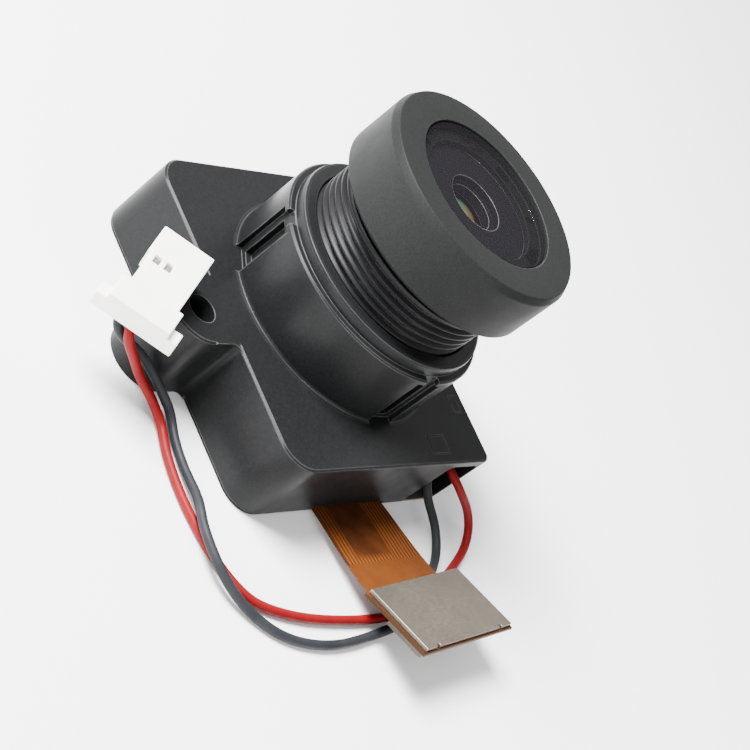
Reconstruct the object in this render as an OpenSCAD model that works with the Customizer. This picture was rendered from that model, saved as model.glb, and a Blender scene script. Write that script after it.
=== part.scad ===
// Board camera module: an M12 lens screwed into a moulded holder with a moving cut filter,
// an image sensor on a flex tail behind it, and the filter's two-wire lead.
// Origin: on the optical axis, in the flat back face. +Z leaves the front of the lens.

/* [Holder] */
// Width of the box, along X
box_w = 18.6; // [18.4:0.1:19.4]
// Depth of the box, along Y
box_d = 20.1; // [20:0.1:21]
// Height of the box
box_h = 5.1; // [5.1:0.1:5.6]
// Thickness of the box's walls and roof
wall = 1; // [0.9:0.05:1.05]
// Outer radius of the barrel that stands on the box
barrel_r = 7.42; // [7.3:0.02:7.7]
// Height of the barrel's shoulder above the back face
barrel_top = 9.55; // [9.2:0.05:9.8]
// Outer radius of the collar around the thread
collar_r = 6.95; // [6.8:0.05:7.1]
// Height of the collar above the back face
collar_top = 10.3; // [10.1:0.05:10.5]

/* [Ears] */
// Distance from the optical axis to each screw hole
ear_offset = 11.4; // [11.2:0.1:12]
// Radius of an ear
ear_r = 2.2; // [1.9:0.1:2.4]
// Radius of a screw hole
ear_hole_r = 0.88; // [0.8:0.02:1.1]

/* [Lens] */
// Outer radius of the lens thread
thread_r = 6; // [5.95:0.01:6]
// Pitch of the lens thread
thread_pitch = 0.5; // [0.5:0.25:0.75]
// Outer radius of the hood
hood_r = 7; // [6.9:0.05:7.6]
// Height of the hood's rear face above the back face
hood_z = 13.6; // [13.5:0.1:14]
// Length of the hood
hood_len = 3.97; // [3.8:0.01:4.2]
// Radius of the front window
window_r = 4.85; // [4.5:0.05:5]

/* [Cut filter] */
// Radius of each filter glass
filter_r = 2.35; // [2.2:0.05:2.4]
// Swing of the filter blade between day and night
blade_swing = 39; // [38:0.5:40]

/* [Flex tail] */
// Width of the tail where it leaves the box
tail_w = 6.4; // [6:0.1:6.6]
// Width of the tail at the stiffener
tail_head_w = 7; // [6.6:0.1:7.4]
// Thickness of the steel stiffener
stiff_t = 0.25; // [0.15:0.05:0.3]
// Thickness of the flex circuit
flex_t = 0.15; // [0.12:0.01:0.2]
// Width of the steel stiffener at the tail's end
stiff_w = 8.8; // [8.6:0.1:9.2]
// Length of the steel stiffener
stiff_l = 4.75; // [4.5:0.05:5]

/* [Lead] */
// Outside diameter of each wire
wire_d = 0.55; // [0.5:0.01:0.56]
// Width of the plug's body
plug_w = 3.1; // [3:0.1:3.4]
// Length of the plug
plug_l = 5.6; // [5.4:0.1:5.8]
// Thickness of the plug
plug_t = 1.7; // [1.5:0.1:1.8]

/* [Hidden] */
$fn = 72;
eps = 0.01;

// Box: its middle is a little off the optical axis
box_x = -0.35;
box_y = -0.2;
x_left = box_x - box_w / 2;
x_right = box_x + box_w / 2;
y_front = box_y - box_d / 2;
y_back = box_y + box_d / 2;
big_corner = 1.9;
small_corner = 0.5;
edge = 0.12;
foot_h = 0.22;
foot_in = 0.1;
bore_r = thread_r + 0.06;
roof_z = box_h - wall;
slot_angles = [154, 266];

// Levels of the stack inside the box
plate_t = 0.2;
flex_z = plate_t;
sensor_z = flex_z + flex_t;
cover_z = 1.75;
cover_t = 0.3;
blade_z = 2.4;
blade_t = 0.5;
arm_z = 3.05;
magnet_z = 3.35;
magnet_h = 0.6;
board_gap = 0.06;

// Cut filter: pivot, rotor and the crank between them
blade_pos = [0, -7.45];
blade_reach = 7.45;
rotor_gap = 4.9;
rotor_dir = 20;
rotor_pos = blade_pos + rotor_gap * [cos(rotor_dir), sin(rotor_dir)];
crank_r = 2.1;
crank_rest = 168.34;
crank_pin_r = 0.25;
tail_rest = rotor_dir + blade_swing / 2;
pivot_r = 0.4;
rotor_pin_r = 0.35;
running = 0.05;
magnet_r = 0.95;
boss_r = 1;
screw_r = 0.4;
screw_spots = [[-7.3, 7.4], [6.6, 7.4], [-7.3, -7.9]];
coil_pos = [7, -6];
coil_z = 3.35;
coil_half = 1.6;
block_y = -7.9;
yoke_z = 3.4;

// Wire notch and flex slot in the front wall
notch_x0 = 5.5;
notch_x1 = 8.4;
notch_top = 4.5;
notch_round = 0.5;

// Head of the flex tail: its near left corner, and how it turns and rises
head_pos = [-3.1, -16, 1.75];
head_turn = 3.2;
head_rise = 20.5;
tail_x = 0.1;
tail_leave = 13;
tail_steps = 14;

// Plug: the middle of its lower front edge, and how it leans on the ear
plug_pos = [-12.35, 2.45, 5.72];
plug_lean = [18, -12.5, -53.5];
plug_ways = [-0.15, -0.85];

// Routes of the two wires, from the coil to the plug
red_route = [
    [7.5, -7.9, 2.95], [7.55, -8.7, 3.1], [7.4, -9.5, 3.18], [7.5, -10.15, 3.1], [7.9, -10.8, 2.88],
    [8.5, -11.3, 2.45], [9.2, -11.7, 2.0], [9.8, -12.3, 1.4], [9.8, -13.1, 0.9], [9.3, -13.9, 0.5],
    [8.0, -14.7, 0.3], [6.0, -15.6, 0.3], [4.0, -16.3, 0.3], [2.0, -16.9, 0.3], [0.4, -17.2, 0.3],
    [-1.0, -17.3, 0.3], [-3.3, -17.2, 0.3], [-5.8, -16.9, 0.3], [-8.1, -16.5, 0.3], [-10.2, -15.8, 0.3],
    [-11.4, -15.1, 0.3], [-12.2, -13.9, 0.3], [-12.7, -12.6, 0.3], [-13.0, -11.4, 0.3],
    [-13.3, -9.0, 0.3], [-13.1, -6.6, 0.3], [-12.8, -5.5, 0.3], [-12.6, -4.8, 0.35], [-12.7, -4.2, 0.5],
    [-13.0, -3.6, 0.8], [-13.4, -3.2, 1.1], [-14.0, -2.7, 1.5], [-14.6, -2.21, 2.0], [-15.2, -1.9, 2.6],
    [-15.71, -1.62, 3.07], [-16.13, -1.25, 3.48]
];
black_route = [
    [6.5, -7.9, 2.95], [6.4, -8.7, 2.8], [6.15, -9.5, 2.45], [6.1, -10.1, 2.0], [6.35, -10.6, 1.6],
    [6.6, -11.0, 1.25], [6.9, -12.0, 0.9], [6.8, -13.0, 0.6], [6.4, -13.9, 0.4], [5.7, -14.6, 0.35],
    [4.7, -15.2, 0.5], [3.7, -15.8, 0.8], [2.8, -16.3, 0.95], [2.0, -16.85, 1.0], [1.2, -17.4, 0.9],
    [0.4, -17.8, 0.6], [-0.9, -18.0, 0.3], [-3.9, -18.3, 0.3], [-6.2, -18.4, 0.3], [-8.5, -18.0, 0.3],
    [-10.2, -17.3, 0.3], [-11.4, -16.3, 0.35], [-12.4, -15.2, 0.5], [-13.1, -14.1, 0.8],
    [-13.4, -12.9, 0.95], [-13.4, -11.6, 1.0], [-13.3, -10.7, 1.02], [-12.95, -9.8, 1.0],
    [-12.55, -8.9, 0.75], [-12.2, -7.4, 0.3], [-12.0, -5.6, 0.3], [-11.8, -4.7, 0.4],
    [-11.8, -4.0, 0.65], [-12.3, -3.3, 1.05], [-12.99, -2.51, 1.6], [-13.89, -1.7, 2.2],
    [-14.99, -1.14, 2.7], [-16.38, -0.6, 3.18]
];
wire_rings = 40;
wire_sides = 8;

// ---------- helpers ----------

// Outline of the box, smaller all round by inset
module box_outline(inset = 0) {
    corners = [
        [x_left, y_front, 1, 1, big_corner], [x_right, y_front, -1, 1, small_corner],
        [x_right, y_back, -1, -1, big_corner], [x_left, y_back, 1, -1, big_corner]
    ];
    difference() {
        translate([x_left + inset, y_front + inset]) square([box_w - 2 * inset, box_d - 2 * inset]);
        for (c = corners) {
            r = max(c[4] - inset, 0.2);
            translate([c[0] + inset * c[2], c[1] + inset * c[3]]) scale_sign(c[2], c[3]) corner_cut(r);
        }
    }
}

// Mirrors its child into the quadrant that sx and sy name
module scale_sign(sx, sy) {
    mirror([sx < 0 ? 1 : 0, 0]) mirror([0, sy < 0 ? 1 : 0]) children();
}

// What a rounded corner takes off a square one, with the corner at the origin
module corner_cut(r) {
    difference() {
        translate([-eps, -eps]) square(r + eps);
        translate([r, r]) circle(r);
    }
}

// Places its child on the frame of the flex tail's head
module on_head() {
    translate(head_pos) rotate([0, 0, head_turn]) rotate([-head_rise, 0, 0]) children();
}

// Places its child on the plug's frame: +Y forward, +Z up, origin at the lower front edge
module on_plug() {
    translate(plug_pos) rotate(plug_lean) children();
}

function turn_x(p, a) = [p[0], p[1] * cos(a) - p[2] * sin(a), p[1] * sin(a) + p[2] * cos(a)];
function turn_y(p, a) = [p[0] * cos(a) + p[2] * sin(a), p[1], p[2] * cos(a) - p[0] * sin(a)];
function turn_z(p, a) = [p[0] * cos(a) - p[1] * sin(a), p[0] * sin(a) + p[1] * cos(a), p[2]];
function plug_point(p) =
    plug_pos + turn_z(turn_y(turn_x(p, plug_lean[0]), plug_lean[1]), plug_lean[2]);

// The last two points of a wire: on the plug's underside near its rear, and just inside it
function into_plug(x) = [plug_point([x, -plug_l + 0.45, 0]), plug_point([x, -plug_l + 0.7, 0.3])];

// Smooth B-spline along a list of points, at a parameter from 0 to len - 1; it starts and ends on them
function knot(p, i) =
    i < 0 ? 2 * p[0] - p[1] :
    i >= len(p) ? 2 * p[len(p) - 1] - p[len(p) - 2] : p[i];
function curve_mix(a, b, c, d, t) =
    (pow(1 - t, 3) * a + (3 * t * t * t - 6 * t * t + 4) * b
        + (3 * t + 3 * t * t - 3 * t * t * t + 1) * c + t * t * t * d) / 6;
function curve_at(p, s) =
    let (i = min(floor(s), len(p) - 2))
    curve_mix(knot(p, i - 1), p[i], p[i + 1], knot(p, i + 2), s - i);
function unit(v) = v / norm(v);

// Points at equal steps of length along a route
function route_sums(p, i = 0, sum = 0, out = []) =
    i >= len(p) ? out :
    let (s = i == 0 ? 0 : sum + norm(p[i] - p[i - 1])) route_sums(p, i + 1, s, concat(out, [s]));
function param_at(sums, s, i = 0) =
    i >= len(sums) - 2 || s <= sums[i + 1]
        ? i + (s - sums[i]) / (sums[i + 1] - sums[i])
        : param_at(sums, s, i + 1);
function route_points(p, count) =
    let (sums = route_sums(p), total = sums[len(sums) - 1])
    [for (k = [0:count - 1]) curve_at(p, param_at(sums, total * k / (count - 1)))];

// Round tube swept along a route
module tube(route, d, rings, sides) {
    pts = route_points(route, rings);
    last = rings - 1;
    ring = [for (i = [0:last])
        let (
            along = unit(pts[min(i + 1, last)] - pts[max(i - 1, 0)]),
            side = unit(cross(along, abs(along[2]) > 0.9 ? [1, 0, 0] : [0, 0, 1])),
            up = cross(side, along)
        )
        for (k = [0:sides - 1])
            pts[i] + d / 2 * (cos(360 * k / sides) * side + sin(360 * k / sides) * up)];
    walls = [for (i = [0:last - 1]) for (k = [0:sides - 1])
        [i * sides + k, (i + 1) * sides + k, (i + 1) * sides + (k + 1) % sides, i * sides + (k + 1) % sides]];
    start_cap = [for (k = [0:sides - 1]) k];
    end_cap = [for (k = [sides - 1:-1:0]) last * sides + k];
    polyhedron(points = ring, faces = concat([start_cap, end_cap], walls), convexity = 8);
}

// Flat ring or disc with chamfered outer edges
module lens_disc(r, h, chamfer = 0.08) {
    rotate_extrude() polygon([
        [0, 0], [r - chamfer, 0], [r, chamfer], [r, h - chamfer], [r - chamfer, h], [0, h]
    ]);
}

module ring(r_out, r_in, h) {
    difference() {
        cylinder(h = h, r = r_out);
        translate([0, 0, -1]) cylinder(h = h + 2, r = r_in);
    }
}

// ---------- holder ----------

module holder_box() {
    linear_extrude(foot_h + eps) box_outline(foot_in);
    translate([0, 0, foot_h]) linear_extrude(box_h - edge - foot_h) box_outline();
    hull() {
        translate([0, 0, box_h - edge - eps]) linear_extrude(eps) box_outline();
        translate([0, 0, box_h - eps]) linear_extrude(eps) box_outline(edge);
    }
}

// One ear, with its neck and the two fillets where the neck meets the wall
module ear(side) {
    wall_x = side < 0 ? x_left : x_right;
    neck = abs(side * ear_offset - wall_x);
    fillet = 0.5;
    translate([side * ear_offset, box_y]) {
        cylinder(h = box_h - edge, r = ear_r);
        translate([0, 0, box_h - edge]) cylinder(h = edge, r1 = ear_r, r2 = ear_r - edge);
    }
    translate([min(side * ear_offset, wall_x) - (side > 0 ? 1 : 0), box_y - ear_r, 0])
        cube([neck + 1, 2 * ear_r, box_h]);
    for (s = [-1, 1])
        translate([wall_x, box_y + s * ear_r, 0])
            linear_extrude(box_h) mirror([side < 0 ? 1 : 0, 0]) mirror([0, s < 0 ? 1 : 0]) corner_cut(fillet);
}

module barrel_body() {
    foot = 0.22;
    rotate_extrude() polygon([
        [0, box_h - 0.2], [barrel_r + foot, box_h - 0.2], [barrel_r + foot, box_h],
        [barrel_r + foot / 4, box_h + foot / 3], [barrel_r, box_h + foot],
        [barrel_r, barrel_top - 0.1], [barrel_r - 0.1, barrel_top], [collar_r, barrel_top],
        [collar_r, collar_top - 0.2], [collar_r - 0.05, collar_top - 0.06],
        [collar_r - 0.2, collar_top], [0, collar_top]
    ]);
}

// Two upright channels in the barrel's wall, each with a deeper middle
module barrel_slots() {
    for (a = slot_angles) rotate(a) {
        translate([barrel_r - 0.42, -1, box_h]) cube([2, 2, barrel_top - box_h - 0.35]);
        translate([barrel_r - 0.42, -0.55, box_h]) cube([2, 1.1, barrel_top]);
        translate([barrel_r - 0.85, -0.5, box_h + 0.3]) cube([2, 1, barrel_top - box_h - 1.2]);
    }
}

module cavity() {
    translate([0, 0, -1]) linear_extrude(roof_z + 1) box_outline(wall);
}

module wire_notch() {
    w = notch_x1 - notch_x0;
    translate([notch_x0, y_front - 1, -1]) cube([w, wall + 1.5, notch_top + 1 - notch_round]);
    translate([notch_x0 + notch_round, y_front - 1, 0]) cube([w - 2 * notch_round, wall + 1.5, notch_top]);
    for (x = [notch_x0 + notch_round, notch_x1 - notch_round])
        translate([x, y_front - 1, notch_top - notch_round])
            rotate([-90, 0, 0]) cylinder(h = wall + 1.5, r = notch_round, $fn = 32);
}

module flex_slot() {
    translate([tail_x - tail_w / 2 - 0.1, y_front - 1, -1]) cube([tail_w + 0.2, wall + 2, 1.5]);
}

// Shallow moulding marks on the box's roof
module mould_marks() {
    mark_d = 0.05;
    translate([3.4, -9.6, box_h - mark_d]) difference() {
        cube([1.8, 1.25, 1]);
        translate([0.07, 0.07, -1]) cube([1.66, 1.11, 3]);
    }
    translate([7.6, -6.9, box_h - mark_d]) difference() {
        cube([0.75, 1.2, 1]);
        translate([0.07, 0.07, -1]) cube([0.61, 1.06, 3]);
    }
}

module lens_holder() {
    color([0.05, 0.05, 0.055]) {
        difference() {
            union() {
                holder_box();
                for (side = [-1, 1]) ear(side);
                barrel_body();
            }
            cavity();
            translate([0, 0, roof_z - 1]) cylinder(h = collar_top, r = bore_r, $fn = 96);
            translate([0, 0, collar_top - 0.08]) cylinder(h = 0.09, r1 = bore_r, r2 = bore_r + 0.09);
            barrel_slots();
            wire_notch();
            flex_slot();
            mould_marks();
            for (side = [-1, 1])
                translate([side * ear_offset, box_y, -1]) cylinder(h = box_h + 2, r = ear_hole_r);
            translate([blade_pos[0], blade_pos[1], 0]) cylinder(h = roof_z + 0.5, r = pivot_r);
            translate([rotor_pos[0], rotor_pos[1], 0]) cylinder(h = roof_z + 0.5, r = rotor_pin_r);
        }
        for (p = screw_spots) translate([p[0], p[1], cover_z + cover_t]) difference() {
            cylinder(h = roof_z - cover_z - cover_t + 0.1, r = boss_r);
            translate([0, 0, -1]) cylinder(h = 2.8, r = screw_r);
        }
    }
}

// ---------- sensor board and flex tail ----------

module board_area(gap) {
    difference() {
        box_outline(wall + gap);
        translate([notch_x0 - 0.3, y_front]) square([5, 2.2]);
    }
}

// The plate also closes the foot of the wire notch
module back_plate() {
    sill = notch_x1 - notch_x0 - 2 * board_gap;
    color([0.3, 0.3, 0.3]) linear_extrude(plate_t) union() {
        box_outline(wall + board_gap);
        translate([notch_x0 + board_gap, y_front + 0.1]) square([sill, wall + 0.3]);
    }
}

// Centre line of the tail: rising at tail_leave from the wall and at head_rise where it meets the head
tail_end = head_pos + turn_z(turn_x([tail_head_w / 2, -0.3, -stiff_t - flex_t], -head_rise), head_turn);
tail_start = [tail_x, y_front, flex_z];
function tail_point(t) =
    let (
        run = tail_start[1] - tail_end[1],
        step = 3 * t * t - 2 * t * t * t,
        leave = t * t * t - 2 * t * t + t,
        arrive = t * t * t - t * t
    )
    [
        tail_start[0] + (tail_end[0] - tail_start[0]) * step,
        tail_start[1] - run * t,
        tail_start[2] + (tail_end[2] - tail_start[2]) * step
            + run * (tan(tail_leave) * leave + tan(head_rise) * arrive)
    ];

// Corner of the tail's section at t from 0 to 1: side is left or right, up is the bottom or the top
function tail_corner(t, side, up) =
    let (
        rise = tail_leave + (head_rise - tail_leave) * t,
        half = (tail_w + (tail_head_w - tail_w) * t) / 2
    )
    tail_point(t) + turn_z([side * half, up * flex_t * sin(rise), up * flex_t * cos(rise)], head_turn * t);

module tail_strip() {
    pts = [for (i = [0:tail_steps]) for (c = [[-1, 0], [1, 0], [1, 1], [-1, 1]])
        tail_corner(i / tail_steps, c[0], c[1])];
    walls = [for (i = [0:tail_steps - 1]) for (k = [0:3])
        [i * 4 + k, (i + 1) * 4 + k, (i + 1) * 4 + (k + 1) % 4, i * 4 + (k + 1) % 4]];
    ends = [[0, 1, 2, 3], [for (k = [3:-1:0]) tail_steps * 4 + k]];
    polyhedron(points = pts, faces = concat(ends, walls), convexity = 4);
}

module flex_circuit() {
    margin = 0.15;
    color([0.62, 0.3, 0.06]) {
        translate([0, 0, flex_z]) linear_extrude(flex_t) board_area(board_gap);
        translate([tail_x - tail_w / 2, y_front - eps, flex_z]) cube([tail_w, wall + 0.5, flex_t]);
        tail_strip();
        on_head() translate([-2 * margin, -stiff_l - margin, -stiff_t - flex_t])
            cube([stiff_w + 3 * margin, stiff_l + margin, flex_t]);
    }
}

module tail_stiffener() {
    color([0.6, 0.57, 0.52]) on_head() translate([0, -stiff_l, -stiff_t]) difference() {
        cube([stiff_w, stiff_l, stiff_t]);
        for (x = [1.15, stiff_w - 1.15]) translate([x - 0.15, -1, -1]) cube([0.3, 1.15, 2]);
    }
}

connector_w = 8.4;
connector_l = 2.7;
connector_t = 0.55;
connector_in = 0.2;
module board_connector() {
    lip = 0.5;
    color([0.12, 0.11, 0.1]) on_head()
        translate([(stiff_w - connector_w) / 2, -stiff_l + connector_in, -stiff_t - flex_t - connector_t])
            difference() {
                cube([connector_w, connector_l, connector_t]);
                translate([lip, lip, -1]) cube([connector_w - 2 * lip, connector_l - 2 * lip, 1.3]);
            }
}

module connector_contacts() {
    pitch = 0.5;
    count = 14;
    pad = [0.2, 0.17, 0.12];
    first = (stiff_w - (count - 1) * pitch - pad[0]) / 2;
    color([0.85, 0.65, 0.3]) on_head()
        for (i = [0:count - 1]) for (y = [-stiff_l + connector_in - pad[1], -stiff_l + connector_in + connector_l])
            translate([first + i * pitch, y, -stiff_t - flex_t - pad[2]]) cube(pad);
}

sensor_w = 8;
sensor_d = 7;
module image_sensor() {
    color([0.1, 0.12, 0.11]) translate([-sensor_w / 2, -sensor_d / 2, sensor_z]) cube([sensor_w, sensor_d, 0.7]);
}

module sensor_glass() {
    glass = [6.4, 5.4, 0.3];
    color([0.25, 0.3, 0.35, 0.6]) translate([-glass[0] / 2, -glass[1] / 2, sensor_z + 0.7]) cube(glass);
}

module chip_capacitors() {
    part = [0.5, 1, 0.45];
    color([0.55, 0.42, 0.3]) for (x = [-7.2, 6.4]) for (y = [-3:2:5])
        translate([x, y - part[1] / 2, sensor_z]) cube(part);
}

module light_gasket() {
    outer = [11.2, 10.2];
    inner = [9.2, 8.2];
    color([0.08, 0.08, 0.08]) translate([0, 0, sensor_z]) linear_extrude(cover_z - sensor_z) difference() {
        square(outer, center = true);
        square(inner, center = true);
    }
}

// ---------- cut filter ----------

module switcher_cover() {
    color([0.16, 0.16, 0.17]) translate([0, 0, cover_z]) difference() {
        linear_extrude(cover_t) box_outline(wall + 0.1);
        translate([0, 0, -1]) cylinder(h = 3, r = 2.9);
        translate([notch_x0 - 0.3, y_front, -1]) cube([5, 2, 3]);
        for (p = screw_spots) translate([p[0], p[1], -1]) cylinder(h = 3, r = screw_r + 0.05);
    }
}

module cover_screws() {
    head_h = 0.4;
    color([0.7, 0.7, 0.72]) for (p = screw_spots) translate([p[0], p[1], cover_z]) {
        difference() {
            translate([0, 0, -head_h]) cylinder(h = head_h, r = 0.8);
            translate([-0.5, -0.1, -head_h - 1]) cube([1, 0.2, 1.2]);
            translate([-0.1, -0.5, -head_h - 1]) cube([0.2, 1, 1.2]);
        }
        translate([0, 0, -eps]) cylinder(h = 1.8, r = screw_r);
    }
}

module blade_pin() {
    color([0.75, 0.75, 0.77]) translate([blade_pos[0], blade_pos[1], cover_z + cover_t])
        cylinder(h = roof_z + 0.5 - cover_z - cover_t, r = pivot_r);
}

module rotor_pin() {
    color([0.75, 0.75, 0.77]) translate([rotor_pos[0], rotor_pos[1], cover_z + cover_t])
        cylinder(h = roof_z + 0.5 - cover_z - cover_t, r = rotor_pin_r);
}

// Places its child on the blade's pivot, turned so that +Y looks at one of the two filters
module on_blade(angle = 0) {
    translate([blade_pos[0], blade_pos[1], blade_z]) rotate(angle) children();
}

module filter_blade() {
    rim = 0.4;
    slot_in = 2.72;
    slot_out = 3.38;
    slot_half = 0.37;
    color([0.09, 0.09, 0.1]) difference() {
        union() {
            for (a = [0, blade_swing]) on_blade(a) {
                translate([0, blade_reach]) cylinder(h = blade_t, r = filter_r + rim);
                translate([-1, 0, 0]) cube([2, blade_reach - filter_r, blade_t]);
            }
            on_blade() cylinder(h = blade_t, r = 1);
            on_blade(tail_rest) {
                translate([0, -0.7, 0]) cube([slot_out, 1.4, blade_t]);
                translate([slot_out, 0]) cylinder(h = blade_t, r = 0.7);
            }
        }
        for (a = [0, blade_swing]) on_blade(a) {
            translate([0, blade_reach, -1]) cylinder(h = 3, r = filter_r - 0.25);
            translate([0, blade_reach, 0.15]) cylinder(h = 3, r = filter_r);
        }
        on_blade() translate([0, 0, -1]) cylinder(h = 3, r = pivot_r + running);
        on_blade(tail_rest) {
            translate([slot_in, -slot_half, -1]) cube([slot_out - slot_in, 2 * slot_half, 3]);
            for (x = [slot_in, slot_out]) translate([x, 0, -1]) cylinder(h = 3, r = slot_half);
        }
    }
}

module filter_disc(angle, tint) {
    color(tint) on_blade(angle) translate([0, blade_reach, 0.15]) cylinder(h = 0.3, r = filter_r);
}

module day_filter() {
    filter_disc(0, [0.35, 0.6, 0.62, 0.6]);
}

module night_window() {
    filter_disc(blade_swing, [0.85, 0.9, 0.95, 0.4]);
}

module rotor_magnet() {
    color([0.3, 0.3, 0.32]) translate([rotor_pos[0], rotor_pos[1], magnet_z])
        ring(magnet_r, rotor_pin_r + running, magnet_h);
}

module rotor_arm() {
    arm_half = 0.4;
    arm_t = magnet_z - arm_z;
    color([0.85, 0.83, 0.78]) translate([rotor_pos[0], rotor_pos[1], arm_z]) difference() {
        union() {
            cylinder(h = arm_t, r = 0.8);
            translate([0, 0, blade_z - arm_z]) cylinder(h = arm_z - blade_z + eps, r = 0.6);
            rotate(crank_rest) {
                translate([0, -arm_half, 0]) cube([crank_r, 2 * arm_half, arm_t]);
                translate([crank_r, 0, 0]) cylinder(h = arm_t, r = arm_half);
                translate([crank_r, 0, blade_z - arm_z]) cylinder(h = arm_z - blade_z + eps, r = crank_pin_r);
            }
        }
        translate([0, 0, -2]) cylinder(h = 4, r = rotor_pin_r + running);
    }
}

module coil_bobbin() {
    flange_t = 0.3;
    color([0.9, 0.88, 0.8]) difference() {
        union() {
            translate([coil_pos[0], coil_pos[1] + coil_half, coil_z]) rotate([90, 0, 0])
                cylinder(h = 2 * coil_half, r = 0.45);
            translate([coil_pos[0], coil_pos[1] + coil_half, coil_z]) rotate([90, 0, 0])
                cylinder(h = flange_t, r = 0.7);
            translate([coil_pos[0] - 0.8, block_y, 2.62]) cube([1.6, flange_t, 1.4]);
        }
        translate([coil_pos[0] - 0.21, block_y - 1, 3.09]) cube([0.42, 5, 0.52]);
    }
}

module coil_winding() {
    color([0.72, 0.36, 0.14]) translate([coil_pos[0], coil_pos[1] + coil_half - 0.32, coil_z])
        rotate([90, 0, 0]) ring(0.68, 0.46, 2 * coil_half - 0.64);
}

module coil_yoke() {
    y_low = -8.45;
    y_high = -3.95;
    leg = 0.28;
    gap = magnet_r + 0.13;
    pole_x = rotor_pos[0];
    color([0.66, 0.66, 0.68]) {
        translate([coil_pos[0] - 0.2, y_low, 3.1]) cube([0.4, y_high - y_low + leg, 0.5]);
        for (y = [y_low, y_high]) translate([pole_x - 0.6, y, yoke_z]) cube([coil_pos[0] - pole_x + 0.8, leg, 0.5]);
        translate([pole_x - 0.6, y_low, yoke_z]) cube([1.2, rotor_pos[1] - gap - y_low, 0.5]);
        translate([pole_x - 0.6, rotor_pos[1] + gap, yoke_z]) cube([1.2, y_high - rotor_pos[1] - gap, 0.5]);
    }
}

// ---------- lens ----------

rear_z = 5.2;
barrel_len = hood_z - rear_z;
element_gap = 0.03;
front_seat_z = 11;
stack_r = 3.8 - element_gap;
stack_top = 14.3;

// Outside of the threaded barrel: plain at the rear, then grooves at the thread's pitch
module lens_barrel() {
    groove = 0.26;
    first_groove = 8.5;
    last_groove = 12.9;
    color([0.07, 0.07, 0.075]) difference() {
        union() {
            translate([0, 0, rear_z]) cylinder(h = 0.5, r = thread_r - 0.7);
            translate([0, 0, rear_z + 0.5]) cylinder(h = 13 - rear_z - 0.5, r = thread_r, $fn = 96);
            translate([0, 0, 13 - eps]) cylinder(h = hood_z - 13 + eps, r = thread_r - 0.35);
        }
        for (z = [first_groove:thread_pitch:last_groove]) translate([0, 0, z]) rotate_extrude($fn = 96)
            polygon([[thread_r - groove, 0], [thread_r + 0.2, -0.22], [thread_r + 0.2, 0.22]]);
        translate([0, 0, rear_z - 1]) cylinder(h = 2, r = 4.3);
        translate([0, 0, rear_z + 0.9]) cylinder(h = front_seat_z - rear_z - 0.9, r = 3.8);
        translate([0, 0, front_seat_z - eps]) cylinder(h = 4, r = 2.6);
    }
}

module lens_hood() {
    rear_chamfer = 0.22;
    face_chamfer = 0.22;
    seat_z = hood_len - 0.6;
    color([0.06, 0.06, 0.065]) translate([0, 0, hood_z]) difference() {
        rotate_extrude($fn = 96) polygon([
            [0, 0], [hood_r - rear_chamfer, 0], [hood_r, rear_chamfer],
            [hood_r, hood_len - 0.44], [hood_r - face_chamfer, hood_len], [0, hood_len]
        ]);
        translate([0, 0, seat_z]) cylinder(h = 2, r = window_r, $fn = 96);
        translate([0, 0, -1]) cylinder(h = hood_len, r = 2.6);
        translate([0, 0, hood_len - 1.4]) cylinder(h = 2, r = 3.9);
    }
}

// Dark disc behind the window, with the small opening that the lens looks through
module aperture_plate() {
    color([0.05, 0.04, 0.06]) translate([0, 0, hood_z + hood_len - 1.4]) ring(3.9, 1.84, 0.45);
}

module inner_retainer() {
    color([0.1, 0.1, 0.1]) translate([0, 0, hood_z + hood_len - 2]) ring(2.6, 1.52, 0.6);
}

module front_window() {
    color([0.16, 0.12, 0.2, 0.5]) translate([0, 0, hood_z + hood_len - 0.6]) lens_disc(window_r - 0.06, 0.5, 0.06);
}

module rear_retainer() {
    color([0.1, 0.1, 0.1]) translate([0, 0, rear_z + 0.05]) ring(4.3, 2.9, 0.8);
}

// One glass element: a flat disc, or one with a domed front when dome is its radius of curvature
module element(r, h, z, tint, dome = 0) {
    color(tint) translate([0, 0, z]) intersection() {
        cylinder(h = h, r = r);
        if (dome > 0) translate([0, 0, h - dome]) sphere(dome, $fn = 96);
    }
}

module front_element() {
    element(1.46, 1.5, stack_top, [0.3, 0.5, 0.35, 0.6], 2.4);
}

module middle_element() {
    color([0.6, 0.7, 0.75, 0.5]) translate([0, 0, 9.3]) cylinder(h = 1.2, r = stack_r);
}

module rear_element() {
    color([0.6, 0.7, 0.75, 0.5]) translate([0, 0, 6.35]) cylinder(h = 1.3, r = stack_r);
}

module aperture_stop() {
    color([0.06, 0.06, 0.06]) translate([0, 0, 9.1]) ring(stack_r, 1.1, 0.2);
}

module lens_spacers() {
    color([0.08, 0.08, 0.08]) {
        translate([0, 0, 7.65]) ring(stack_r, 2.9, 1.45);
        translate([0, 0, 10.5]) ring(stack_r, 2.2, front_seat_z - 10.5 - element_gap);
        translate([0, 0, front_seat_z - 0.2]) ring(2.6 - element_gap, 1.2, stack_top - front_seat_z + 0.2);
    }
}

// ---------- lead ----------

module wire_red() {
    color([0.75, 0.09, 0.1]) tube(concat(red_route, into_plug(plug_ways[0])), wire_d, wire_rings, wire_sides);
}

module wire_black() {
    color([0.13, 0.14, 0.15]) tube(concat(black_route, into_plug(plug_ways[1])), wire_d, wire_rings, wire_sides);
}

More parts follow.
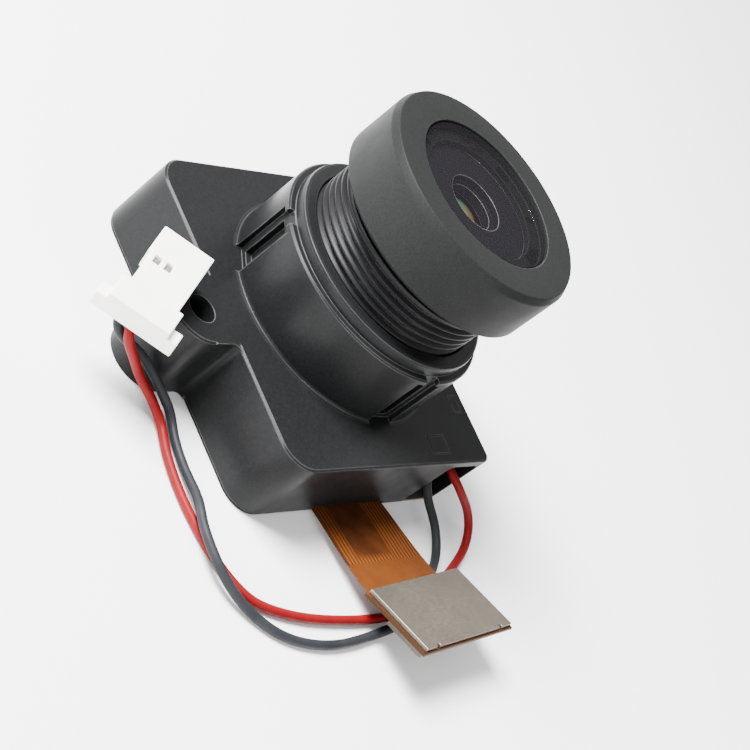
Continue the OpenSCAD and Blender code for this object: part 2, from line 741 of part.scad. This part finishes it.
module plug_housing() {
    flange_w = plug_w + 0.6;
    wing_w = plug_w + 1.8;
    key = 0.17;
    key_l = 1.9;
    color([0.93, 0.92, 0.88]) on_plug() difference() {
        union() {
            translate([-plug_w / 2 + key, -plug_l, 0]) cube([plug_w - key, plug_l, plug_t]);
            translate([-plug_w / 2, -key_l, 0]) cube([plug_w, key_l, plug_t]);
            translate([-flange_w / 2, -plug_l, 0]) cube([flange_w, 1.55, plug_t]);
            translate([-wing_w / 2, -plug_l, 0]) cube([wing_w, 0.8, plug_t - 0.5]);
        }
        for (x = plug_ways) {
            translate([x - 0.2, -2.4, plug_t - 0.5]) cube([0.4, 0.5, 1]);
            translate([x - 0.25, -1.6, plug_t / 2 - 0.3]) cube([0.5, 2, 0.6]);
        }
    }
}

module plug_contacts() {
    color([0.8, 0.8, 0.8]) on_plug() for (x = plug_ways) {
        translate([x - 0.14, -2.34, plug_t - 0.5]) cube([0.28, 0.38, 0.35]);
        translate([x - 0.2, -1.6, plug_t / 2 - 0.2]) cube([0.4, 1.2, 0.12]);
    }
}

lens_holder();
back_plate();
flex_circuit();
image_sensor();
sensor_glass();
chip_capacitors();
light_gasket();
switcher_cover();
cover_screws();
blade_pin();
rotor_pin();
coil_bobbin();
coil_winding();
coil_yoke();
tail_stiffener();
board_connector();
connector_contacts();
wire_red();
wire_black();
plug_housing();
plug_contacts();
filter_blade();
day_filter();
night_window();
rotor_magnet();
rotor_arm();
front_element();
middle_element();
rear_element();
aperture_stop();
lens_spacers();
lens_barrel();
lens_hood();
front_window();
aperture_plate();
inner_retainer();
rear_retainer();
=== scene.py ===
"""Looks of the board camera module: camera, light, cords, materials and the pieces that want a finer form."""

import math

import bmesh
import bpy
import numpy as np
from mathutils import Euler, Matrix, Vector


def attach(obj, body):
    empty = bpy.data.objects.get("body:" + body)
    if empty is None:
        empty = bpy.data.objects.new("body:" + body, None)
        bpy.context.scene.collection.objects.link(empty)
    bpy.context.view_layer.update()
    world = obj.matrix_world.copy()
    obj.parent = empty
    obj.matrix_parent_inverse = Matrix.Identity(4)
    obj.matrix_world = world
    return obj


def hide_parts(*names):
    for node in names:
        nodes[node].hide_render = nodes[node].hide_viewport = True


MM = 0.001

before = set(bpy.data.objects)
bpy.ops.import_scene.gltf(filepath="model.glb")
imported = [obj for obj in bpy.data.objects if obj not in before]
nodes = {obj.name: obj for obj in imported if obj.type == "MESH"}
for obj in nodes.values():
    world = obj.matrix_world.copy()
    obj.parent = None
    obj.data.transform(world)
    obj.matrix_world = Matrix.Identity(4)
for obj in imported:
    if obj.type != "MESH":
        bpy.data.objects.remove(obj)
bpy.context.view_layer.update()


# ---------- camera ----------

CAMERA_PLACE = Vector((-82.67, -35.89, 59.12)) * MM
CAMERA_AIM = Vector((-2.52, -5.68, 7.51)) * MM
CAMERA_ROLL = math.radians(54.1)
CAMERA_LENS = 86.4


def make_camera():
    data = bpy.data.cameras.new("camera")
    data.sensor_width = 36
    data.lens = CAMERA_LENS
    data.clip_start, data.clip_end = 0.005, 10
    camera = bpy.data.objects.new("camera", data)
    look = (CAMERA_AIM - CAMERA_PLACE).to_track_quat("-Z", "Y").to_matrix().to_4x4()
    camera.matrix_world = Matrix.Translation(CAMERA_PLACE) @ look @ Matrix.Rotation(CAMERA_ROLL, 4, "Z")
    bpy.context.scene.collection.objects.link(camera)
    bpy.context.scene.camera = camera


make_camera()


# ---------- cords ----------

WIRE_D = 0.55
PLUG_LENGTH = 5.6
PLUG_PLACE = Vector((-12.35, 2.45, 5.72))
PLUG_LEAN = Euler([math.radians(a) for a in (18, -12.5, -53.5)], "XYZ")
PLUG_WAYS = (-0.15, -0.85)
RED_ROUTE = [
    (7.5, -7.9, 2.95), (7.55, -8.7, 3.1), (7.4, -9.5, 3.18), (7.5, -10.15, 3.1), (7.9, -10.8, 2.88),
    (8.5, -11.3, 2.45), (9.2, -11.7, 2.0), (9.8, -12.3, 1.4), (9.8, -13.1, 0.9), (9.3, -13.9, 0.5),
    (8.0, -14.7, 0.3), (6.0, -15.6, 0.3), (4.0, -16.3, 0.3), (2.0, -16.9, 0.3), (0.4, -17.2, 0.3),
    (-1.0, -17.3, 0.3), (-3.3, -17.2, 0.3), (-5.8, -16.9, 0.3), (-8.1, -16.5, 0.3), (-10.2, -15.8, 0.3),
    (-11.4, -15.1, 0.3), (-12.2, -13.9, 0.3), (-12.7, -12.6, 0.3), (-13.0, -11.4, 0.3),
    (-13.3, -9.0, 0.3), (-13.1, -6.6, 0.3), (-12.8, -5.5, 0.3), (-12.6, -4.8, 0.35), (-12.7, -4.2, 0.5),
    (-13.0, -3.6, 0.8), (-13.4, -3.2, 1.1), (-14.0, -2.7, 1.5), (-14.6, -2.21, 2.0), (-15.2, -1.9, 2.6),
    (-15.71, -1.62, 3.07), (-16.13, -1.25, 3.48),
]
BLACK_ROUTE = [
    (6.5, -7.9, 2.95), (6.4, -8.7, 2.8), (6.15, -9.5, 2.45), (6.1, -10.1, 2.0), (6.35, -10.6, 1.6),
    (6.6, -11.0, 1.25), (6.9, -12.0, 0.9), (6.8, -13.0, 0.6), (6.4, -13.9, 0.4), (5.7, -14.6, 0.35),
    (4.7, -15.2, 0.5), (3.7, -15.8, 0.8), (2.8, -16.3, 0.95), (2.0, -16.85, 1.0), (1.2, -17.4, 0.9),
    (0.4, -17.8, 0.6), (-0.9, -18.0, 0.3), (-3.9, -18.3, 0.3), (-6.2, -18.4, 0.3), (-8.5, -18.0, 0.3),
    (-10.2, -17.3, 0.3), (-11.4, -16.3, 0.35), (-12.4, -15.2, 0.5), (-13.1, -14.1, 0.8),
    (-13.4, -12.9, 0.95), (-13.4, -11.6, 1.0), (-13.3, -10.7, 1.02), (-12.95, -9.8, 1.0),
    (-12.55, -8.9, 0.75), (-12.2, -7.4, 0.3), (-12.0, -5.6, 0.3), (-11.8, -4.7, 0.4),
    (-11.8, -4.0, 0.65), (-12.3, -3.3, 1.05), (-12.99, -2.51, 1.6), (-13.89, -1.7, 2.2),
    (-14.99, -1.14, 2.7), (-16.38, -0.6, 3.18),
]


def into_plug(x):
    """The last two points of a wire: on the plug's underside near its rear, and just inside it."""
    turn = PLUG_LEAN.to_matrix()
    return [
        tuple(PLUG_PLACE + turn @ Vector((x, -PLUG_LENGTH + 0.45, 0))),
        tuple(PLUG_PLACE + turn @ Vector((x, -PLUG_LENGTH + 0.7, 0.3))),
    ]


def smooth_route(points, steps=6):
    """B-spline along the points, as in the part's source. It starts and ends on them."""
    p = np.array(points, float)
    p = np.vstack([2 * p[0] - p[1], p, 2 * p[-1] - p[-2]])
    out = []
    for a, b, c, d in zip(p, p[1:], p[2:], p[3:]):
        for t in np.arange(steps) / steps:
            near = (1 - t) ** 3 * a + (3 * t**3 - 6 * t**2 + 4) * b
            far = (3 * t + 3 * t**2 - 3 * t**3 + 1) * c + t**3 * d
            out.append((near + far) / 6)
    out.append(p[-2])
    return np.array(out) * MM


def make_cord(name, points, node):
    line = smooth_route(points)
    curve = bpy.data.curves.new(name, "CURVE")
    curve.dimensions = "3D"
    curve.bevel_depth = 1  # times each point's radius, which also sets the curve's bounds
    curve.bevel_resolution = 6
    curve.use_fill_caps = True
    spline = curve.splines.new("POLY")
    spline.points.add(len(line) - 1)
    for point, place in zip(spline.points, line):
        point.co = (*place, 1)
        point.radius = WIRE_D / 2 * MM
    spline.use_smooth = True
    cord = bpy.data.objects.new(name, curve)
    bpy.context.scene.collection.objects.link(cord)
    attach(cord, "housing")
    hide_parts(node)
    return cord, line


cord_red, line_red = make_cord("cord_red", RED_ROUTE + into_plug(PLUG_WAYS[0]), "wire_red")
cord_black, line_black = make_cord("cord_black", BLACK_ROUTE + into_plug(PLUG_WAYS[1]), "wire_black")


# ---------- materials ----------


class Paint:
    """One material: a Principled shader with nodes added to it by short calls."""

    def __init__(self, name, color, roughness, metallic=0.0, **sockets):
        self.material = bpy.data.materials.new(name)
        self.material.use_nodes = True
        self.tree = self.material.node_tree
        self.shader = self.tree.nodes["Principled BSDF"]
        self.set("Base Color", (*color, 1))
        self.set("Roughness", roughness)
        self.set("Metallic", metallic)
        for socket, value in sockets.items():
            self.set(socket.replace("_", " "), value)
        self.place = self.node("ShaderNodeTexCoord").outputs["Object"]

    def set(self, socket, value):
        self.shader.inputs[socket].default_value = value

    def link(self, value, socket):
        self.tree.links.new(value, socket)

    def node(self, kind, settings=(), **inputs):
        made = self.tree.nodes.new(kind)
        for key, value in dict(settings).items():
            setattr(made, key, value)
        for key, value in inputs.items():
            socket = made.inputs[int(key[1:]) if key[1:].isdigit() else key.replace("_", " ")]
            if isinstance(value, bpy.types.NodeSocket):
                self.link(value, socket)
            else:
                socket.default_value = value
        return made

    def noise(self, size, detail=3.0, place=None):
        """Noise whose blobs are about size millimetres across."""
        made = self.node("ShaderNodeTexNoise", Scale=1 / (size * MM), Detail=detail)
        self.link(place or self.place, made.inputs["Vector"])
        return made.outputs["Fac"]

    def ramp(self, value, low, high, out_low=0.0, out_high=1.0):
        return self.node(
            "ShaderNodeMapRange", Value=value, From_Min=low, From_Max=high, To_Min=out_low, To_Max=out_high
        ).outputs["Result"]

    def mix(self, factor, a, b):
        made = self.node("ShaderNodeMix", {"data_type": "RGBA"})
        for index, value in ((0, factor), (6, a), (7, b)):
            if isinstance(value, bpy.types.NodeSocket):
                self.link(value, made.inputs[index])
            else:
                made.inputs[index].default_value = value if index == 0 else (*value, 1)
        return made.outputs[2]

    def math(self, operation, a, b=0.0):
        return self.node("ShaderNodeMath", {"operation": operation}, _0=a, _1=b).outputs[0]

    def color(self, value):
        self.link(value, self.shader.inputs["Base Color"])

    def roughness(self, value):
        self.link(value, self.shader.inputs["Roughness"])

    def edges(self, radius):
        """1 on edges sharper than the radius in millimetres, 0 on open faces; and the rounded normal."""
        bevel = self.node("ShaderNodeBevel", {"samples": 6}, Radius=radius * MM).outputs["Normal"]
        normal = self.node("ShaderNodeNewGeometry").outputs["Normal"]
        dot = self.node("ShaderNodeVectorMath", {"operation": "DOT_PRODUCT"}, _0=bevel, _1=normal)
        return self.ramp(dot.outputs["Value"], 0.99, 0.85), bevel

    def bump(self, height, depth, strength=1.0, normal=None):
        """Bump of that depth in millimetres."""
        made = self.node("ShaderNodeBump", Height=height, Distance=depth * MM, Strength=strength)
        if normal is not None:
            self.link(normal, made.inputs["Normal"])
        self.link(made.outputs["Normal"], self.shader.inputs["Normal"])


def grained(name, color, worn_and_highlight, roughness, grain, depth, edge=0.1, speck=0.12, **sockets):
    """Dark moulded or anodised surface: fine grain, uneven gloss and brighter edges, partly wear and partly a
    painted highlight.
    """
    paint = Paint(name, color, roughness, **sockets)
    fine = paint.noise(grain, 2)
    cloud = paint.noise(grain * 22, 3)
    tone = paint.mix(paint.ramp(fine, 0.35, 0.7), color, tuple(c * (1 + 4 * speck) for c in color))
    edge_mask, round_normal = paint.edges(edge)
    # Edges get the brighter colour: part wear, part painted highlight where the rims catch light.
    patchy_wear_and_highlight = paint.math("MULTIPLY", edge_mask, paint.ramp(cloud, 0.3, 0.6, 0.25, 1.0))
    paint.color(paint.mix(patchy_wear_and_highlight, tone, worn_and_highlight))
    paint.roughness(paint.ramp(cloud, 0.3, 0.7, roughness - 0.06, roughness + 0.07))
    paint.bump(fine, depth, 0.8, round_normal)
    return paint.material


def metal(name, color, roughness, scratch=0.3, **sockets):
    """Satin metal with fine lengthwise scratches."""
    paint = Paint(name, color, roughness, 1.0, **sockets)
    stretched = paint.node("ShaderNodeMapping", _3=(1, 9, 1), Vector=paint.place).outputs["Vector"]
    lines = paint.noise(0.35, 4, stretched)
    cloud = paint.noise(1.6, 3)
    paint.color(paint.mix(paint.ramp(cloud, 0.3, 0.7), tuple(c * 0.9 for c in color), color))
    paint.roughness(paint.ramp(lines, 0.3, 0.7, roughness - 0.08, roughness + 0.1))
    paint.bump(lines, 0.004, scratch)
    return paint.material


def plastic(name, color, shade, roughness, grain=0.15, depth=0.003, **sockets):
    """Light moulded resin or film with a little unevenness."""
    paint = Paint(name, color, roughness, **sockets)
    cloud = paint.noise(1.3, 3)
    paint.color(paint.mix(paint.ramp(cloud, 0.35, 0.7), color, shade))
    paint.roughness(paint.ramp(cloud, 0.3, 0.7, roughness - 0.05, roughness + 0.08))
    paint.bump(paint.noise(grain, 2), depth, 0.5)
    return paint.material


def glass(name, color, roughness=0.03, alpha=0.35, coat=1.0, **sockets):
    """Coated or tinted glass: a tinted, partly clear skin with a strong coat."""
    paint = Paint(name, color, roughness, Alpha=alpha, Coat_Weight=coat, Coat_Roughness=0.02, **sockets)
    smear = paint.noise(2.2, 2)
    paint.roughness(paint.ramp(smear, 0.3, 0.7, roughness, roughness + 0.03))
    return paint.material


TRACE_PITCH = 0.3 * MM
TRACE_MIDDLE_X = -0.4 * MM
TRACE_BARE_HALF = 1.5 * MM
TRACE_BARE_END = -13.6 * MM
FAN_START, FAN_END = -14.2 * MM, -16.2 * MM
HEAD_START, HEAD_DARK = -16.0 * MM, -16.5 * MM


def flex_film():
    """Amber film over etched copper: fine lines run down the tail and blur into grain near its head."""
    paint = Paint("flex_film", (0.4, 0.15, 0.02), 0.45, Specular_IOR_Level=0.1)
    axes = paint.node("ShaderNodeSeparateXYZ", Vector=paint.place)
    x, y = axes.outputs["X"], axes.outputs["Y"]
    fan = paint.ramp(y, FAN_START, FAN_END)
    slant = paint.math("MULTIPLY", paint.math("MULTIPLY", y, fan), 0.55)
    across = paint.math("ADD", x, slant)
    wave = paint.math("SINE", paint.math("MULTIPLY", across, 2 * math.pi / TRACE_PITCH))
    trace = paint.ramp(wave, -0.25, 0.35)
    aside = paint.math("ABSOLUTE", paint.math("SUBTRACT", x, TRACE_MIDDLE_X))
    side = paint.ramp(aside, TRACE_BARE_HALF, TRACE_BARE_HALF + 0.25 * MM)
    bundles = paint.math("MAXIMUM", side, paint.ramp(y, TRACE_BARE_END, TRACE_BARE_END - 0.4 * MM))
    shown = paint.math("MULTIPLY", trace, bundles)
    base = paint.mix(paint.ramp(paint.noise(1.1, 3), 0.35, 0.65), (0.034, 0.009, 0.002), (0.06, 0.016, 0.003))
    lit = paint.mix(shown, base, (0.13, 0.037, 0.005))
    paint.color(paint.mix(paint.ramp(y, HEAD_START, HEAD_DARK), lit, (0.03, 0.012, 0.004)))
    paint.bump(shown, 0.02, 0.6)
    return paint.material


def coated_element():
    """Front element's anti-reflection coating, its reflected tint painted into the colour as a painted
    reflection: green on one side, amber on the other, dark in the middle.
    """
    paint = Paint("coated_glass", (0.02, 0.05, 0.03), 0.05, Coat_Weight=1.0, Coat_Roughness=0.02)
    axes = paint.node("ShaderNodeSeparateXYZ", Vector=paint.place)
    # Painted reflection: the coating's tint swings from green to amber across the element.
    painted_reflection_side = paint.ramp(paint.math("SUBTRACT", axes.outputs["X"], axes.outputs["Y"]), -1.0 * MM, 1.0 * MM)
    paint.color(paint.mix(painted_reflection_side, (0.02, 0.22, 0.08), (0.3, 0.11, 0.05)))
    return paint.material


# The second colour of each grained finish is its edge colour: part wear, part painted highlight.
moulding = grained(
    "moulding", (0.006, 0.0062, 0.0065), (0.09, 0.09, 0.09), 0.34, 0.12, 0.007,
    Specular_IOR_Level=0.1,
)
anodised = grained(
    "anodised", (0.008, 0.0083, 0.0083), (0.2, 0.2, 0.2), 0.5, 0.09, 0.005, edge=0.07,
    Specular_IOR_Level=0.06,
)
threads = grained(
    "anodised_thread", (0.006, 0.006, 0.0065), (0.05, 0.05, 0.05), 0.38, 0.1, 0.002, edge=0.04,
    Specular_IOR_Level=0.09,
)
steel = metal("steel", (0.25, 0.222, 0.178), 0.46, 0.2)
pin_steel = metal("pin_steel", (0.62, 0.62, 0.64), 0.3)
tinned = metal("tinned", (0.82, 0.82, 0.8), 0.16, 0.1)
gold = metal("gold", (0.86, 0.62, 0.24), 0.22, 0.1)
magnet = metal("magnet", (0.35, 0.35, 0.37), 0.3)
copper = metal("copper", (0.72, 0.33, 0.13), 0.35, 0.6)
nylon = plastic(
    "nylon_white", (0.88, 0.87, 0.83), (0.83, 0.81, 0.75), 0.38, Subsurface_Weight=0.25,
    Subsurface_Scale=0.0006,
)
cream = plastic("nylon_cream", (0.8, 0.76, 0.62), (0.72, 0.66, 0.5), 0.45)
connector_resin = plastic("connector_resin", (0.04, 0.035, 0.03), (0.06, 0.05, 0.04), 0.45)
ceramic = plastic("ceramic", (0.42, 0.29, 0.19), (0.5, 0.38, 0.27), 0.5)
chip = plastic("chip", (0.03, 0.035, 0.034), (0.05, 0.05, 0.05), 0.3)
foam = plastic("foam", (0.03, 0.03, 0.03), (0.05, 0.05, 0.05), 0.9, 0.2, 0.05)
# Its near-white edge colour is a painted highlight: the bright ring at the aperture's hole.
aperture_black = grained(
    "aperture_black", (0.006, 0.006, 0.007), (0.9, 0.86, 0.9), 0.5, 0.1, 0.003, edge=0.06,
    Specular_IOR_Level=0.1,
)
black_metal = plastic("black_metal", (0.02, 0.018, 0.022), (0.03, 0.027, 0.032), 0.5)
red_skin = plastic(
    "insulation_red", (0.16, 0.003, 0.005), (0.12, 0.002, 0.003), 0.45, 0.3, 0.004,
    Specular_IOR_Level=0.12,
)
black_skin = plastic(
    "insulation_black", (0.018, 0.019, 0.022), (0.012, 0.013, 0.015), 0.5, 0.3, 0.004,
    Specular_IOR_Level=0.12,
)
clear = glass("clear_glass", (0.8, 0.85, 0.86))
filter_glass = glass("filter_glass", (0.2, 0.5, 0.55), alpha=0.6)
tinted = glass("window_tint", (0.007, 0.006, 0.008), alpha=0.32, coat=0.0, Specular_IOR_Level=0.06)
film = flex_film()
coated = coated_element()

FINISH = {
    moulding: ["lens_holder", "switcher_cover"],
    anodised: ["lens_hood", "lens_spacers", "rear_retainer"],
    threads: ["lens_barrel"],
    steel: ["back_plate", "tail_stiffener"],
    pin_steel: ["cover_screws", "blade_pin", "rotor_pin", "coil_yoke"],
    tinned: ["plug_contacts"],
    gold: ["connector_contacts"],
    magnet: ["rotor_magnet"],
    copper: ["coil_winding"],
    nylon: ["plug_housing"],
    cream: ["coil_bobbin", "rotor_arm"],
    connector_resin: ["board_connector"],
    ceramic: ["chip_capacitors"],
    chip: ["image_sensor"],
    foam: ["light_gasket"],
    aperture_black: ["aperture_plate", "inner_retainer"],
    black_metal: ["filter_blade", "aperture_stop"],
    red_skin: ["wire_red"],
    black_skin: ["wire_black"],
    clear: ["sensor_glass", "night_window", "middle_element", "rear_element"],
    filter_glass: ["day_filter"],
    tinted: ["front_window"],
    film: ["flex_circuit"],
    coated: ["front_element"],
}


def paint_piece(piece, material):
    piece.data.materials.clear()
    piece.data.materials.append(material)


for material, names in FINISH.items():
    for name in names:
        paint_piece(nodes[name], material)
paint_piece(cord_red, red_skin)
paint_piece(cord_black, black_skin)


# ---------- pieces with a finer form ----------


def add_piece(name, mesh, body, node, material, sharp=35):
    """A new piece that stands for a CAD node and rides on its body."""
    for polygon in mesh.polygons:
        polygon.use_smooth = True
    mesh.set_sharp_from_angle(angle=math.radians(sharp))
    piece = bpy.data.objects.new(name, mesh)
    bpy.context.scene.collection.objects.link(piece)
    paint_piece(piece, material)
    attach(piece, body)
    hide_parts(node)
    return piece


def revolved(name, profile, segments=128, radius_at=None):
    """Closed solid of revolution about Z. profile holds (radius, height) in millimetres."""
    rows = len(profile)
    verts, faces = [], []
    for k in range(segments):
        a = 2 * math.pi * k / segments
        for r, z in profile:
            r = radius_at(r, z, a) if radius_at else r
            verts.append((r * math.cos(a) * MM, r * math.sin(a) * MM, z * MM))
    for k in range(segments):
        for i in range(rows):
            j, n = (i + 1) % rows, (k + 1) % segments
            faces.append((k * rows + i, n * rows + i, n * rows + j, k * rows + j))
    mesh = bpy.data.meshes.new(name)
    mesh.from_pydata(verts, [], faces)
    mesh.validate()
    work = bmesh.new()
    work.from_mesh(mesh)
    bmesh.ops.recalc_face_normals(work, faces=work.faces)
    work.to_mesh(mesh)
    work.free()
    return mesh


def rounded(points, radius, steps=4):
    """The profile with each corner rounded off."""
    out = []
    count = len(points)
    for i, corner in enumerate(points):
        c = Vector(corner)
        before, after = Vector(points[i - 1]) - c, Vector(points[(i + 1) % count]) - c
        cut = min(radius, before.length * 0.4, after.length * 0.4)
        a, b = c + before.normalized() * cut, c + after.normalized() * cut
        for s in range(steps + 1):
            t = s / steps
            out.append(tuple(a * (1 - t) ** 2 + c * 2 * t * (1 - t) + b * t**2))
    return out


HOOD_R = 7.0
HOOD_Z = 13.6
HOOD_TOP = HOOD_Z + 3.97
WINDOW_R = 4.85
THREAD_R = 6.0
THREAD_PITCH = 0.5
THREAD_DEPTH = 0.26
BARREL_REAR = 5.2
THREAD_START, THREAD_END = 8.3, 12.95
FLANK_START, FLANK_END = 8.2, 13.0
FLANK_ROWS = 10  # to a turn of the thread


def make_hood():
    profile = [
        (HOOD_R - 0.22, HOOD_Z), (HOOD_R, HOOD_Z + 0.22), (HOOD_R, HOOD_TOP - 0.44),
        (HOOD_R - 0.22, HOOD_TOP), (WINDOW_R, HOOD_TOP), (WINDOW_R, HOOD_TOP - 0.6),
        (3.9, HOOD_TOP - 0.6), (3.9, HOOD_TOP - 1.4), (2.6, HOOD_TOP - 1.4), (2.6, HOOD_Z),
    ]
    mesh = revolved("hood_fine", rounded(profile, 0.05), 192)
    return add_piece("hood_fine", mesh, "lens", "lens_hood", anodised)


def thread_radius(r, z, angle):
    """Radius of the barrel where the thread's groove winds round it."""
    start, end = THREAD_START, THREAD_END
    if r < THREAD_R - 0.01 or not start < z < end:
        return r
    phase = (z / THREAD_PITCH - angle / (2 * math.pi)) % 1.0
    groove = max(0.0, 1 - abs(phase - 0.5) / 0.42)
    fade = min(1.0, (z - start) / 0.4, (end - z) / 0.15)
    return r - THREAD_DEPTH * groove * fade


def make_barrel():
    rings = int((FLANK_END - FLANK_START) / THREAD_PITCH * FLANK_ROWS)
    flank = [(THREAD_R, FLANK_START + i * THREAD_PITCH / FLANK_ROWS) for i in range(rings + 1)]
    profile = [
        (5.3, BARREL_REAR), (5.3, BARREL_REAR + 0.5), (THREAD_R, BARREL_REAR + 0.5), *flank,
        (THREAD_R - 0.35, 13.05), (THREAD_R - 0.35, HOOD_Z), (2.6, HOOD_Z), (2.6, 11.0),
        (3.8, 11.0), (3.8, BARREL_REAR + 1), (4.3, BARREL_REAR + 1), (4.3, BARREL_REAR),
    ]
    mesh = revolved("barrel_fine", profile, 160, thread_radius)
    return add_piece("barrel_fine", mesh, "lens", "lens_barrel", threads, 50)


make_hood()
make_barrel()


FLAT_AREA = 0.3  # square millimetres; a face larger than this is shaded flat


def softened(node, body, material, width):
    """A copy of a CAD node with its sharp edges rounded by a few hundredths of a millimetre."""
    mesh = nodes[node].data.copy()
    work = bmesh.new()
    work.from_mesh(mesh)
    bmesh.ops.remove_doubles(work, verts=work.verts, dist=0.0005 * MM)
    bmesh.ops.dissolve_limit(work, angle_limit=math.radians(1), verts=work.verts, edges=work.edges)
    sharp = [e for e in work.edges if len(e.link_faces) == 2 and e.calc_face_angle(0) > math.radians(30)]
    bmesh.ops.bevel(
        work, geom=sharp, offset=width * MM, segments=3, profile=0.5, affect="EDGES", clamp_overlap=True
    )
    work.to_mesh(mesh)
    work.free()
    piece = add_piece(node + "_soft", mesh, body, node, material, 40)
    for polygon in piece.data.polygons:
        if polygon.area > FLAT_AREA * MM**2:
            polygon.use_smooth = False
    return piece


softened("plug_housing", "housing", nylon, 0.07)
softened("tail_stiffener", "housing", steel, 0.03)


# ---------- floor and light ----------


def make_floor():
    mesh = bpy.data.meshes.new("floor")
    s = 1.5
    mesh.from_pydata([(-s, -s, 0), (s, -s, 0), (s, s, 0), (-s, s, 0)], [], [(0, 1, 2, 3)])
    floor = bpy.data.objects.new("floor", mesh)
    bpy.context.scene.collection.objects.link(floor)
    paint = Paint("floor", (0.93, 0.93, 0.93), 0.9)
    paint_piece(floor, paint.material)


def make_light(name, place, size, power, aim=(0, -4, 6)):
    data = bpy.data.lights.new(name, "AREA")
    data.shape = "RECTANGLE"
    data.size, data.size_y = size[0] * MM, size[1] * MM
    data.energy = power
    light = bpy.data.objects.new(name, data)
    light.location = Vector(place) * MM
    direction = Vector(aim) * MM - light.location
    light.rotation_mode = "QUATERNION"
    light.rotation_quaternion = direction.to_track_quat("-Z", "Y")
    bpy.context.scene.collection.objects.link(light)


def make_world(strength):
    world = bpy.data.worlds.new("world")
    world.use_nodes = True
    background = world.node_tree.nodes["Background"]
    background.inputs["Color"].default_value = (1, 1, 1, 1)
    background.inputs["Strength"].default_value = strength
    bpy.context.scene.world = world


make_floor()
make_world(0.85)
make_light("key", (-110, 110, 190), (110, 110), 4.6)
make_light("side", (-220, -40, 60), (50, 120), 0.2)
make_light("low", (-40, -220, 60), (140, 50), 0.3)


# ---------- last update --------------

bpy.context.view_layer.update()
